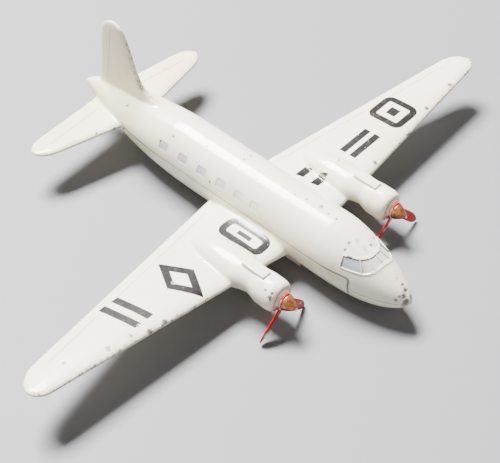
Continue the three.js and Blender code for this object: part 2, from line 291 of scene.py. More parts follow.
def fuselageSection(y, inset=0.0):
    # half width, top and bottom at this distance along the body
    f = fuselage
    ahead = clamp((y - noseY) / f["noseTaper"])
    chin = clamp((y - noseY) / f["chinTaper"])
    side = clamp((y - tailY + f["sideTaper"]) / f["sideTaper"])
    back = clamp((y - tailY + f["topTaper"]) / f["topTaper"])
    under = clamp((y - tailY + f["bellyTaper"]) / f["bellyTaper"])
    width = f["halfWidth"] * (1 - (1 - ahead) ** 1.8) ** 0.62 * (1 - side ** 2) ** 0.85
    top = mix(f["noseTipZ"], f["top"], (1 - (1 - ahead) ** 1.5) ** 0.75)
    top -= (f["top"] - f["tailTipZ"] - f["tailTipRadius"]) * (0.45 * back + 0.55 * back ** 7)
    bottom = mix(f["noseTipZ"], f["bottom"], (1 - (1 - chin) ** 2) ** 0.7)
    bottom += (f["tailTipZ"] - f["tailTipRadius"] - f["bottom"]) * under ** 1.6
    return max(0.2, width) - inset, top - inset, bottom + inset


def fuselageBody(name, start, end, inset, corners, stations):
    sections = []
    for i in range(stations + 1):
        # stations crowd towards both ends, where the body curves most
        y = mix(start, end, (1 - math.cos(math.pi * i / stations)) / 2)
        width, top, bottom = fuselageSection(y, inset)
        height = max(0.2, (top - bottom) / 2)
        sections.append(((0, y, (top + bottom) / 2), (width, 1, height)))
    return loftRings(name, sections, corners)


wing = {
    "rootLeadY": -22.57, "rootTrailY": 2.79, "leadSweep": 0.0963, "trailSweep": -0.1693,
    "rootLeadZ": 5.76, "rootTrailZ": 5.23, "leadRise": 0.068, "trailRise": 0.0735,
    "rootThickness": 3.7, "tipThickness": 1.5,
    "tipShare": 0.42, "leadRound": 3.7, "trailRound": 6.0, "tipFullness": 2.6,
    "span": halfSpan,
    "swellFrom": 15.0, "swell": 1.7,  # the section thickens towards the body
    "flareFrom": 8.7, "flareTo": 6.9, "flare": 2.2,  # the fillet against the body
}
tailplane = {
    "rootLeadY": tailY - 20.16, "rootTrailY": tailY - 6.49, "leadSweep": 0.226, "trailSweep": -0.084,
    "rootLeadZ": 9.2, "rootTrailZ": 9.2, "leadRise": 0, "trailRise": 0,
    "rootThickness": 2.0, "tipThickness": 1.3,
    "tipShare": 0.5, "leadRound": 4.6, "trailRound": 4.6, "tipFullness": 2.5,
    "span": upperHigh.x,
    "swellFrom": 8.0, "swell": 0.5,
    "flareFrom": 5.6, "flareTo": 3.4, "flare": 1.4,
}


def foilOutline(corners):
    # chordwise share and height of a section one unit long and one thick, thickest at a third
    outline = []
    for i in range(2 * corners):
        share = (1 - math.cos(math.pi * (i + 0.5) / corners)) / 2
        edge = 0.24 * math.sqrt(1 - (2 * share - 1) ** 8)
        height = edge + 0.26 * math.sin(math.pi * share ** 0.6)
        outline.append((share, height if i < corners else -0.8 * height))
    return outline


def panelBody(name, side, panel):
    roundLength = max(panel["leadRound"], panel["trailRound"])
    straightTo = panel["span"] - roundLength
    flares = [mix(panel["flareTo"], panel["flareFrom"], share) for share in (0, 0.25, 0.5, 0.75, 1)]
    spanwise = [0] + flares + [mix(flares[-1], panel["swellFrom"], share) for share in (0.3, 0.65, 1)]
    spanwise += [mix(panel["swellFrom"], straightTo, share) for share in (0.5, 1)]
    spanwise += [straightTo + roundLength * math.sin(math.radians(angle))
                 for angle in (14, 26, 37, 47, 56, 64, 71, 77, 82, 86)]
    spanwise.append(panel["span"])

    def rounding(x, reach):
        share = clamp((x - panel["span"] + reach) / reach)
        return math.sqrt(max(0.01, 1 - share ** panel["tipFullness"]))

    sections = []
    for x in spanwise:
        lead = Vector((side * x, panel["rootLeadY"] + panel["leadSweep"] * x,
                       panel["rootLeadZ"] + panel["leadRise"] * x))
        trail = Vector((side * x, panel["rootTrailY"] + panel["trailSweep"] * x,
                        panel["rootTrailZ"] + panel["trailRise"] * x))
        tip = lead.lerp(trail, panel["tipShare"])
        lead = tip.lerp(lead, rounding(x, panel["leadRound"]))
        trail = tip.lerp(trail, rounding(x, panel["trailRound"]))
        thickness = mix(panel["rootThickness"], panel["tipThickness"], x / panel["span"])
        thickness *= max(0.35, rounding(x, roundLength) ** 0.5)
        near = clamp((panel["flareFrom"] - x) / (panel["flareFrom"] - panel["flareTo"]))
        thickness += panel["flare"] * (1 - math.sqrt(1 - near ** 2))
        reach = panel["swellFrom"] - panel["flareTo"]
        thickness += panel["swell"] * clamp((panel["swellFrom"] - x) / reach) ** 1.7
        sections.append((lead, (1, trail.y - lead.y, thickness)))
    root, (_, chord, thickness) = sections[0]
    slope = (panel["rootTrailZ"] - panel["rootLeadZ"]) / chord
    points = [root + Vector((0, share * chord, height * thickness + slope * share * chord))
              for share, height in foilOutline(16)]
    return pullSections(traceOutline(name, points), sections)


fin = {
    "top": upperHigh.z, "foot": 13.2, "rootThickness": 2.2, "tipThickness": 1.3,
    "flareTo": 13.6, "flareFrom": 17.6, "flare": 2.6,
    # distance ahead of the tail cone's tip and height, up the leading and the trailing edge
    "lead": ((31.5, 13.2), (29.9, 15.2), (25.0, 16.2), (21.2, 17.9), (18.8, 21.5), (16.9, 26.7),
             (15.1, 30.3), (13.8, 31.8), (12.0, 32.4)),
    "trail": ((5.6, 13.2), (6.0, 15.2), (6.8, 21.9), (7.6, 28.8), (8.5, 30.8), (9.9, 31.9),
              (11.2, 32.4)),
}


def alongEdge(edgePoints, z):
    # cubic through the edge's points, by height
    count = len(edgePoints)
    for i in range(count - 1):
        (aheadLow, low), (aheadHigh, high) = edgePoints[i], edgePoints[i + 1]
        if z <= high or i == count - 2:
            before = edgePoints[max(0, i - 1)]
            after = edgePoints[min(count - 1, i + 2)]
            slopeLow = (aheadHigh - before[0]) / max(1e-6, high - before[1])
            slopeHigh = (after[0] - aheadLow) / max(1e-6, after[1] - low)
            t = clamp((z - low) / (high - low))
            run = high - low
            return ((2 * t ** 3 - 3 * t ** 2 + 1) * aheadLow + (t ** 3 - 2 * t ** 2 + t) * run * slopeLow
                    + (3 * t ** 2 - 2 * t ** 3) * aheadHigh + (t ** 3 - t ** 2) * run * slopeHigh)


def finBody():
    sections = []
    for share in (0, 0.03, 0.06, 0.1, 0.14, 0.18, 0.23, 0.3, 0.42, 0.55, 0.68, 0.78, 0.85, 0.9, 0.94,
                  0.97, 0.99, 1):
        z = mix(fin["foot"], fin["top"], share)
        lead = tailY - alongEdge(fin["lead"], z)
        trail = tailY - alongEdge(fin["trail"], z)
        thickness = mix(fin["rootThickness"], fin["tipThickness"], share)
        thickness *= 1 if share < 0.97 else 0.8 if share < 1 else 0.5
        near = clamp((fin["flareFrom"] - z) / (fin["flareFrom"] - fin["flareTo"]))
        thickness += fin["flare"] * (1 - math.sqrt(1 - near ** 2))
        sections.append((Vector((0, lead, z)), (thickness, trail - lead, 1)))
    root, (thickness, chord, _) = sections[0]
    points = [root + Vector((height * thickness / 0.9, share * chord, 0))
              for share, height in foilOutline(14)]
    return pullSections(traceOutline("fin", points), sections)


pinLow, pinHigh = (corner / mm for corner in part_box("port_spinner_pin"))
collar = {"gap": 0.1, "length": 0.62, "rearRadius": 2.45, "frontRadius": 2.05, "bore": 0.88}
engine = {"x": (pinLow.x + pinHigh.x) / 2, "z": (pinLow.z + pinHigh.z) / 2,
          "frontY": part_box("port_collar")[1].y / mm + collar["gap"]}
nacelle = {
    "faceRadius": 2.75, "cowlRadius": 3.75, "lipLength": 2.1, "cowlLength": 4.9,
    "neckBack": 7.1, "neckHalfWidth": 3.35, "neckTop": 3.51, "neckBottom": -2.69,
    "wingHalfWidth": 4.45, "corners": 56,
    "wideBehindLead": 1.61, "endAheadOfTrail": 4.3,
}
scoop = {"width": 2.4, "front": 4.2, "rear": 10.2, "top": 4.3, "lean": 0.03, "foot": 1.5,
         "soften": 0.24}


def nacelleBody(side):
    x, z, frontY = side * engine["x"], engine["z"], engine["frontY"]
    n = nacelle
    rings = [(frontY, n["faceRadius"], n["faceRadius"], -n["faceRadius"])]
    for angle in (12, 25, 38, 50, 62, 75, 90):
        turn = math.radians(angle)
        radius = mix(n["faceRadius"], n["cowlRadius"], math.sin(turn))
        rings.append((frontY + n["lipLength"] * (1 - math.cos(turn)), radius, radius, -radius))
    barrel = frontY + n["cowlLength"]
    neck = frontY + n["neckBack"]
    rings.append((barrel - 0.4, n["cowlRadius"], n["cowlRadius"], -n["cowlRadius"]))
    rings.append((barrel, n["cowlRadius"] - 0.05, n["cowlRadius"] - 0.02, 0.04 - n["cowlRadius"]))
    rings.append((mix(barrel, neck, 0.5), n["neckHalfWidth"] + 0.12, n["neckTop"] + 0.08,
                  n["neckBottom"] - 0.45))
    rings.append((neck, n["neckHalfWidth"], n["neckTop"], n["neckBottom"]))
    wideY = wing["rootLeadY"] + wing["leadSweep"] * engine["x"] + n["wideBehindLead"]
    endY = wing["rootTrailY"] + wing["trailSweep"] * engine["x"] - n["endAheadOfTrail"]
    rings.append((mix(neck, wideY, 0.5), mix(n["neckHalfWidth"], n["wingHalfWidth"], 0.42),
                  n["neckTop"] + 0.06, n["neckBottom"] - 0.35))
    steps = 18
    for i in range(steps + 1):
        share = i / steps
        close = math.sqrt(max(0.003, 1 - share ** 2.2))
        rings.append((mix(wideY, endY, share), n["wingHalfWidth"] * close,
                      mix(-0.44, n["neckTop"] + 0.1, close ** 0.8),
                      mix(-1.04, n["neckBottom"] - 0.9, close ** 1.4)))
    sections = [((x, y, z + (top + bottom) / 2), (width, 1, (top - bottom) / 2))
                for y, width, top, bottom in rings]
    return loftRings("nacelle", sections, n["corners"])


def scoopBody(side):
    # a block on top of the cowling, with a flat front and a roof that falls a little towards it
    x, z, half = side * engine["x"], engine["z"], scoop["width"] / 2
    front, rear = engine["frontY"] + scoop["front"], engine["frontY"] + scoop["rear"]
    body = addBox("scoop", (x - half, front, z + scoop["foot"]), (x + half, rear, z + scoop["top"] + 1))
    grab(body)
    roof = Vector((x, rear, z + scoop["top"])) * mm
    bpy.ops.mesh.bisect(plane_co=roof, plane_no=(0, -math.sin(scoop["lean"]), math.cos(scoop["lean"])),
                        use_fill=True, clear_outer=True)
    faceOut()
    done()

    def showing(start, end):
        above = min(start.z, end.z) > z + scoop["foot"] + 0.1
        return above or max(start.y, end.y) < front + 0.01

    return bevelEdges(body, showing, scoop["soften"], 3)


belly = {"centreY": -9.5, "length": 27, "width": 7.6, "chamfer": 0.6, "height": 2.7}


def bellyPad():
    half = belly["length"] / 2
    y, width = belly["centreY"], belly["width"] / 2
    pad = addBox("pad", (-width, y - half, 0), (width, y + half, belly["height"]))

    def under(start, end):
        return max(start.z, end.z) < 0.1

    return bevelEdges(pad, under, belly["chamfer"], 3)


airframe = {"voxel": 0.3, "rounds": 6}


def wholeAirframe():
    parts = [fuselageBody("fuselage", noseY, tailY, 0, fuselage["corners"], fuselage["stations"]),
             finBody()]
    for side in sides.values():
        parts.append(panelBody("wing", side, wing))
        parts.append(panelBody("tailplane", side, tailplane))
        parts.append(nacelleBody(side))
    skin = fuse(joinAll("airframe_skin", parts), airframe["voxel"], airframe["rounds"])
    crisp = [scoopBody(side) for side in sides.values()] + [bellyPad()]
    return combine(skin, joinAll("scoops_and_pad", crisp), "UNION")


# what is raised on the skin or cut into it
cockpit = {
    "axisY": -33.5,  # the panes are laid out by their angle about this upright line
    "reach": 16, "inner": 0.15,
    "lip": 0.17, "lipHeight": 0.08, "paneDepth": 0.1,
    # both edges of the glass rise towards the middle, inside this angle
    "low": 11.5, "lowRise": 1.35, "high": 13.6, "highRise": 0.35, "riseWithin": 36,
    "panes": ((-74, -36.2), (-34.4, -17), (-15.4, -0.8), (0.8, 15.4), (17, 34.4), (36.2, 74)),
}


def paneEdges(angle):
    # lowest and highest point of the glass at this angle
    c = cockpit
    middle = clamp((c["riseWithin"] - abs(angle)) / c["riseWithin"])
    return (c["low"] + c["lowRise"] * (3 * middle ** 2 - 2 * middle ** 3),
            c["high"] + c["highRise"] * middle)


def paneWedge(name, start, end, spare):
    # a wedge from outside the nose to near its axis, as wide as one pane and as high
    steps = max(3, round(abs(end - start) / 7))
    wider = math.degrees(spare / 6)
    angles = [mix(start - wider, end + wider, i / steps) for i in range(steps + 1)]
    rim = [(angle, paneEdges(angle)[0] - spare) for angle in angles]
    rim += [(angle, paneEdges(angle)[1] + spare) for angle in reversed(angles)]
    points = []
    for angle, z in rim:
        turn = math.radians(angle)
        points.append(Vector((cockpit["reach"] * math.sin(turn),
                              cockpit["axisY"] - cockpit["reach"] * math.cos(turn), z)))
    axis = Vector((0, cockpit["axisY"], 0))
    return pullSections(traceOutline(name, points),
                        [(axis, (1, 1, 1)), (axis, (cockpit["inner"], cockpit["inner"], 1))])


def noseCopy(skin, distance):
    # the nose alone, swollen or shrunk, to shape cutters with
    nose = copyOf(skin, "nose")
    grab(nose)
    bpy.ops.mesh.bisect(plane_co=(0, (noseY + 22) * mm, 0), plane_no=(0, 1, 0),
                        use_fill=True, clear_outer=True)
    bpy.ops.mesh.select_all(action="SELECT")
    bpy.ops.transform.shrink_fatten(value=distance * mm)
    return done()


def noseWork(skin):
    # a raised frame round the panes and the mould's line under the nose; the panes are sunk later
    first, last = cockpit["panes"][0][0], cockpit["panes"][-1][1]
    frameBlock = paneWedge("frame", first, last, cockpit["lip"])
    combine(frameBlock, noseCopy(skin, cockpit["lipHeight"]), "INTERSECT")
    low, high = parting["chinRidge"]
    ridge = addBox("ridge", (-8, noseY + 0.6, low), (8, parting["frontY"] - 0.1, high))
    combine(ridge, noseCopy(skin, parting["chinRidgeHeight"]), "INTERSECT")
    wedges = joinAll("panes", [paneWedge("pane", start, end, 0) for start, end in cockpit["panes"]])
    combine(wedges, noseCopy(skin, -cockpit["paneDepth"]), "DIFFERENCE")
    combine(skin, joinAll("raised", [frameBlock, ridge]), "UNION")
    return wedges


parting = {
    "seamZ": 9.6, "frontY": noseY + 12.1, "rearY": tailY - 19.4, "corner": 0.9, "gap": 0.12,
    "rebate": 0.11, "wingFrom": 7.3, "wall": 1.7,
    "hollowAhead": 3.5, "hollowBehind": 1.5,  # how far the hollow runs past the seam's ends
    "chinRidge": (6.3, 6.65), "chinRidgeHeight": 0.12,
}
cabin = {"windowY": (16.4, 10.4, 4.5, -1.3, -6.8, -11.5), "z": 12.65, "length": 2.6, "height": 1.8,
         "corner": 0.45}


def lowerZone(margin):
    # all that the lower casting may fill: under the seam, and outboard of the body
    p = parting
    front, rear, top = p["frontY"] - margin, p["rearY"] + margin, p["seamZ"] + margin
    zone = addBox("zone", (-30, front, -10), (30, rear, top))

    def crosswise(start, end):
        return min(start.z, end.z) > top - 0.01 and abs(start.y - end.y) < 0.01

    bevelEdges(zone, crosswise, p["corner"] + margin, 6)
    inboard = p["wingFrom"] - margin
    for side in sides.values():
        low, high = sorted((side * inboard, side * 90))
        combine(zone, addBox("outboard", (low, -36, -11), (high, 12, 25)), "UNION")
    return zone


def slantedLine(name, start, end, width, across):
    # a thin upright wall between two points, to engrave a straight line with
    start, end, across = Vector(start), Vector(end), Vector(across)
    side = (end - start).cross(across).normalized() * width / 2
    points = [start - side, end - side, end + side, start + side]
    wall = traceOutline(name, [point - across for point in points])
    return pullSections(wall, [(points[0] - across, (1, 1, 1)), (points[0] + across, (1, 1, 1))])


hinges = {"width": 0.22, "depth": 0.07, "rudder": ((0, 38.7, 30.4), (0, 40.9, 15.6)),
          "elevatorFrom": 5.8, "elevatorTo": 21.5, "elevatorAhead": 3.9,
          "aileronFrom": 31, "aileronTo": 63.5, "aileronAhead": 2.5,
          "flapFrom": 11, "flapTo": 30.4}


def windowBlocks():
    def crosswise(start, end):
        return abs(start.x - end.x) > 1

    blocks = []
    for side in sides.values():
        for y in cabin["windowY"]:
            low, high = sorted((side * 4, side * 9))
            block = addBox("window", (low, y - cabin["length"] / 2, cabin["z"] - cabin["height"] / 2),
                           (high, y + cabin["length"] / 2, cabin["z"] + cabin["height"] / 2))
            blocks.append(bevelEdges(block, crosswise, cabin["corner"], 4))
    return blocks


def engrave(skin, wedges):
    # the hinge lines of rudder, elevators, ailerons and flaps, the rebate along the seam, the
    # windows and the panes, all cut with one block that stops short of the skin's core
    h = hinges
    cuts = [slantedLine("rudder", h["rudder"][0], h["rudder"][1], h["width"], (3, 0, 0))]
    lines = ((tailplane, h["elevatorAhead"], h["elevatorFrom"], h["elevatorTo"]),
             (wing, h["aileronAhead"], h["aileronFrom"], h["aileronTo"]),
             (wing, h["aileronAhead"], h["flapFrom"], h["flapTo"]))
    for side in sides.values():
        for panel, ahead, start, end in lines:
            ends = []
            for x in (start, end):
                y = panel["rootTrailY"] + panel["trailSweep"] * x - ahead
                ends.append(Vector((side * x, y, panel["rootTrailZ"] + panel["trailRise"] * x)))
            cuts.append(slantedLine("hinge", ends[0], ends[1], h["width"], (0, 0, 3)))
    rebate = lowerZone(parting["rebate"])
    combine(rebate, lowerZone(-parting["rebate"]), "DIFFERENCE")
    combine(rebate, addBox("sideways", (-6.9, -45, -2), (6.9, 45, 12)), "INTERSECT")
    block = joinAll("cuts", cuts + windowBlocks() + [rebate])
    combine(block, swell(copyOf(skin, "core"), -h["depth"]), "DIFFERENCE")
    return combine(skin, joinAll("cuts", [block, wedges]), "DIFFERENCE")


rivets = {"front": noseY + 19.4, "rear": tailY - 28.9, "headRadius": 2.1, "head": 0.8,
          "shankRadius": 1.2, "shankInBoss": 4.2, "bossRadius": 2.6, "room": 0.06}


def hollowOut(casting, upper):
    # the castings are shells, with bosses for the rivets in the upper one, and a seat for each
    # rivet's head and a bore for each cone's shank in the lower one
    p, r = parting, rivets
    hollow = fuselageBody("hollow", p["frontY"] - p["hollowAhead"], p["rearY"] + p["hollowBehind"],
                          p["wall"], 32, 26)
    for y in (r["front"], r["rear"]):
        foot = fuselageSection(y)[2]
        bossFoot = foot + p["wall"] + p["gap"]
        if upper:
            combine(hollow, addRod("boss", (0, y, bossFoot), (0, y, 20), r["bossRadius"]), "DIFFERENCE")
        end = bossFoot + r["shankInBoss"] + r["room"]
        shank = addRod("hole", (0, y, foot - 1), (0, y, end), r["shankRadius"] + r["room"])
        combine(hollow, shank, "UNION")
        if not upper:
            seat = addRod("seat", (0, y, foot - 2), (0, y, foot + r["head"]), r["headRadius"] + r["room"])
            combine(hollow, seat, "UNION")
    if not upper:
        bores = []
        for side in sides.values():
            start = (side * engine["x"], engine["frontY"] - 2, engine["z"])
            end = (side * engine["x"], engine["frontY"] + pin["shankEnd"] + 0.3, engine["z"])
            bores.append(addRod("bore", start, end, pin["shankRadius"] + pin["room"]))
        hollow = joinAll("hollow", bores + [hollow])
    return combine(casting, hollow, "DIFFERENCE")


def bodyOf(node):
    bodies = frame["record"]["behaviour"]["bodies"]
    return next(body for body, members in bodies.items() if node in members)


def fit(piece, node, sharpest):
    # takes the CAD node's place; corners sharper than this many degrees stay crisp
    pick(piece)
    bpy.ops.object.shade_smooth_by_angle(angle=math.radians(sharpest))
    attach(piece, bodyOf(node))
    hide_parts(node)
    return piece


def castings():
    skin = wholeAirframe()
    print("airframe skin", len(skin.data.polygons))
    engrave(skin, noseWork(skin))
    print("panes, lines and windows cut", len(skin.data.polygons))
    lower = copyOf(skin, "lower_shell")
    combine(lower, lowerZone(-parting["gap"] / 2), "INTERSECT")
    upper = skin
    upper.name = upper.data.name = "upper_shell"
    combine(upper, lowerZone(parting["gap"] / 2), "DIFFERENCE")
    hollowOut(upper, True)
    hollowOut(lower, False)
    for casting, node in ((upper, "upper_casting"), (lower, "lower_casting")):
        fit(casting, node, 38)
        print(casting.name, len(casting.data.polygons))
    return upper, lower


# each engine's small parts are made about its own axis, then put in their places
disc = {"rear": 0.82, "thickness": 0.36, "tipThickness": 0.72, "hubRadius": 2.0, "bore": 0.88,
        "rootRadius": 1.2, "tipRadius": 10.05, "rootChord": 1.5, "chord": 2.35, "tipFrom": 0.62,
        "pitch": 12, "twistedFrom": 0.3, "angles": (135, 225), "bentFrom": 3.2,
        "turn": {"port": 0, "starboard": 2.5}, "lean": {"port": (11, 0), "starboard": (-3, 0)},
        "corners": 20, "steps": 24, "voxel": 0.07, "rounds": 5}


def bladeBody(angle, lean):
    # pulled upwards from the hub as a soft-edged strip, then turned to its place round the disc
    d = disc
    root, tip = d["rootRadius"], d["tipRadius"]
    outline = []
    for i in range(d["corners"]):
        turn = 2 * math.pi * i / d["corners"]
        across = math.copysign(abs(math.cos(turn)) ** 0.5, math.cos(turn)) * d["rootChord"] / 2
        through = math.copysign(abs(math.sin(turn)) ** 0.7, math.sin(turn)) * d["thickness"] / 2
        outline.append(Vector((across, through, root)))
    blade = traceOutline("blade", outline)
    grab(blade)
    here = Vector((0, 0, root))
    chord, twist, thick = d["rootChord"], 0.0, 1.0
    for step in range(1, d["steps"] + 1):
        radius = mix(root, tip, math.sin(step / d["steps"] * math.pi / 2))
        along = (radius - root) / (tip - root)
        spread = clamp(along / d["twistedFrom"])
        there = Vector((0, -math.tan(math.radians(lean)) * max(0, radius - d["bentFrom"]), radius))
        rounding = math.sqrt(max(0.03, 1 - clamp((along - d["tipFrom"]) / (1 - d["tipFrom"])) ** 2.4))
        nextChord = mix(d["rootChord"], d["chord"], spread ** 0.8) * rounding
        nextTwist = -spread * math.radians(d["pitch"])
        nextThick = mix(1, d["tipThickness"], along)
        extrudeBy(there - here)
        # untwisted, resized, then twisted again
        size = (nextChord / chord, nextThick / thick, 1)
        bpy.ops.transform.rotate(value=twist, orient_axis="Z", center_override=there * mm)
        bpy.ops.transform.resize(value=size, center_override=there * mm)
        bpy.ops.transform.rotate(value=-nextTwist, orient_axis="Z", center_override=there * mm)
        here, chord, twist, thick = there, nextChord, nextTwist, nextThick
    faceOut()
    done()
    blade.location = (0, (-d["rear"] - d["thickness"] / 2) * mm, 0)
    blade.rotation_euler = (0, math.radians(angle), 0)
    return named("blade")


def propeller(side):
    d = disc
    rear, front = -d["rear"], -d["rear"] - d["thickness"]
    hub = spinProfile("hub", [(0, rear), (d["hubRadius"] - 0.12, rear), (d["hubRadius"], rear - 0.12),
                              (d["hubRadius"] - 0.05, front + 0.08), (d["hubRadius"] - 0.2, front),
                              (0, front)], (0, 0, 0), 64)
    lean = d["lean"][side]
    blades = [bladeBody(angle + d["turn"][side], lean[i]) for i, angle in enumerate(d["angles"])]
    body = fuse(joinAll("propeller", [hub] + blades), d["voxel"], d["rounds"])
    combine(body, addRod("bore", (0, rear + 1, 0), (0, front - 1, 0), d["bore"], 48), "DIFFERENCE")
    return ontoEngine(body, side, "airscrew_blades", "propeller", 50)


pin = {"base": 1.28, "coneRadius": 1.85, "coneLength": 3.0, "tipRadius": 0.16,
       "shankRadius": 0.8, "shankEnd": 7.2, "room": 0.06}


def collarRing(side):
    c = collar
    rear, front = -c["gap"], -c["gap"] - c["length"]
    profile = [(c["bore"], rear), (c["rearRadius"] - 0.1, rear), (c["rearRadius"], rear - 0.1),
               (c["rearRadius"] - 0.02, rear - 0.2), (c["rearRadius"] - 0.14, rear - 0.24),
               (mix(c["rearRadius"], c["frontRadius"], 0.6), mix(rear, front, 0.62)),
               (c["frontRadius"] + 0.02, front + 0.14), (c["frontRadius"] - 0.1, front), (c["bore"], front)]
    ring = spinProfile("ring", profile, (0, 0, 0), 96)
    return ontoEngine(ring, side, "boss_ring", "collar")


def spinnerPin(side):
    # the cone is turned with a fine step behind its nose and a narrow flange at its base
    p = pin
    tipY = -p["base"] - p["coneLength"]
    profile = [(0, tipY)]
    steps = 22
    for i in range(steps):
        share = i / (steps - 1)
        radius = mix(p["tipRadius"], p["coneRadius"], mix(share, math.sin(share * math.pi / 2), 0.45))
        profile.append((radius - 0.012 * (i % 2), mix(tipY + 0.05, -p["base"] - 0.24, share)))
    profile += [(p["coneRadius"], -p["base"] - 0.2), (p["coneRadius"], -p["base"] - 0.07),
                (p["coneRadius"] - 0.08, -p["base"]), (p["shankRadius"], -p["base"]),
                (p["shankRadius"], p["shankEnd"] - 0.25), (p["shankRadius"] - 0.25, p["shankEnd"]),
                (0, p["shankEnd"])]
    cone = spinProfile("cone", profile, (0, 0, 0), 96)
    return ontoEngine(cone, side, "cone", "spinner_pin")


def ontoEngine(piece, side, name, node, sharpest=30):
    piece.location = Vector((sides[side] * engine["x"], engine["frontY"], engine["z"])) * mm
    pick(piece)
    return fit(named(side + "_" + name), side + "_" + node, sharpest)


def rivet(which):
    # the head is peened over a shallow dimple
    r = rivets
    foot = fuselageSection(r[which])[2]
    head = foot + r["head"] - r["room"]
    end = foot + parting["wall"] + parting["gap"] + r["shankInBoss"]
    profile = [(0, foot + 0.22), (0.5, foot + 0.2), (0.85, foot + 0.06), (1.15, foot), (1.6, foot + 0.05),
               (r["headRadius"] - 0.12, foot + 0.2), (r["headRadius"], foot + 0.4),
               (r["headRadius"], head), (r["shankRadius"], head), (r["shankRadius"], end - 0.2),
               (r["shankRadius"] - 0.2, end), (0, end)]
    body = spinProfile(which + "_peened_rivet", profile, (0, r[which], 0), 64, upright=True)
    return fit(body, which + "_rivet", 30)


# finishes: each is one material, worked out in millimetres from the piece's own place
class Value:
    # one number or colour of a finish; sums written with it become its nodes
    def __init__(self, finish, socket):
        self.finish, self.socket = finish, socket

    def sum(self, operation, *others):
        return self.finish.add("Math", {"operation": operation}, dict(enumerate((self,) + others)))

    def __add__(self, other):
        return self.sum("ADD", other)

    def __radd__(self, other):
        return self + other

    def __sub__(self, other):
        return self.sum("SUBTRACT", other)

    def __rsub__(self, other):
        return self.finish.add("Math", {"operation": "SUBTRACT"}, {0: other, 1: self})

    def __mul__(self, other):
        return self.sum("MULTIPLY", other)

    def __rmul__(self, other):
        return self * other

    def __truediv__(self, other):
        return self.sum("DIVIDE", other)

    def __abs__(self):
        return self.sum("ABSOLUTE")

    def most(self, other):
        return self.sum("MAXIMUM", other)

    def least(self, other):
        return self.sum("MINIMUM", other)

    def root(self):
        return self.sum("SQRT")

    def fade(self, start, end):
        # 0 at start, 1 at end, easing between; start may be the larger
        return self.finish.add("MapRange", {"interpolation_type": "SMOOTHSTEP"},
                               {"Value": self, "From Min": start, "From Max": end})


def hypot(a, b):
    return (a * a + b * b).root()


def paint(red, green, blue):
    # a colour as it looks on screen, turned into the shader's linear one
    def linear(value):
        value /= 255
        return value / 12.92 if value <= 0.04045 else ((value + 0.055) / 1.055) ** 2.4
    return linear(red), linear(green), linear(blue), 1


class Finish:
    def __init__(self, name):
        self.material = bpy.data.materials.new(name)
        self.material.use_nodes = True
        self.tree = self.material.node_tree
        self.tree.nodes.clear()
        self.place = self.shift(self.add("TexCoord", {}, {}, "Object"), 1 / mm, (0, 0, 0))
        self.x = self.add("SeparateXYZ", {}, {0: self.place}, "X")
        self.y = self.add("SeparateXYZ", {}, {0: self.place}, "Y")
        self.z = self.add("SeparateXYZ", {}, {0: self.place}, "Z")

    def add(self, kind, settings, sockets, output=0):
        node = self.tree.nodes.new("ShaderNode" + kind)
        for name, value in settings.items():
            setattr(node, name, value)
        for name, value in sockets.items():
            if isinstance(value, Value):
                self.tree.links.new(value.socket, node.inputs[name])
            else:
                node.inputs[name].default_value = value
        return Value(self, node.outputs[output])

    def shift(self, vector, factor, offset):
        sockets = {0: vector, 1: (factor,) * 3, 2: offset}
        return self.add("VectorMath", {"operation": "MULTIPLY_ADD"}, sockets)

    def blend(self, share, first, second):
        return self.add("Mix", {"data_type": "RGBA"}, {0: share, 6: first, 7: second}, 2)

    def noise(self, scale, detail=2, roughness=0.5, place=None, output=0):
        return self.add("TexNoise", {}, {"Vector": place or self.place, "Scale": scale, "Detail": detail,
                                         "Roughness": roughness}, output)

    def ragged(self, scale, amount):
        # the place, pushed about a little, so that what is drawn from it has a torn edge
        push = self.shift(self.noise(scale, 3, output=1), amount, (-amount / 2,) * 3)
        return self.add("VectorMath", {"operation": "ADD"}, {0: self.place, 1: push})

    def spots(self, place, spots, share=0.55):
        # a mask that is 1 in each listed spot: middle and radius
        mask = 0
        for x, y, z, radius in spots:
            away = self.add("VectorMath", {"operation": "DISTANCE"}, {0: place, 1: (x, y, z)}, "Value")
            mask = away.fade(radius, radius * share).most(mask)
        return mask

    def specks(self, scale, size, kept):
        # tiny round specks scattered at random; kept is the share of the cells that hold one
        cell = {"Vector": self.place, "Scale": scale}
        away = self.add("TexVoronoi", {}, cell, "Distance")
        lot = self.add("SeparateColor", {}, {0: self.add("TexVoronoi", {}, cell, "Color")}, "Red")
        return away.fade(size, size * 0.5) * lot.fade(kept, kept - 0.02)

    def relief(self, height):
        # height in millimetres
        return self.add("Bump", {}, {"Height": height, "Strength": 1, "Distance": mm})

    def done(self, **sockets):
        values = {name.replace("_", " "): value for name, value in sockets.items()}
        shader = self.add("BsdfPrincipled", {}, values)
        surface = self.tree.nodes.new("ShaderNodeOutputMaterial").inputs["Surface"]
        self.tree.links.new(shader.socket, surface)
        return self.material


def roundedBox(u, v, halfU, halfV, corner):
    # distance to the outline of a box with round corners
    across = (abs(u) - (halfU - corner)).most(0)
    along = (abs(v) - (halfV - corner)).most(0)
    return hypot(across, along) - corner


def stroke(distance, width):
    # a painted line of this width, centred on the outline
    return (abs(distance) - width / 2).fade(marks["soft"], -marks["soft"])


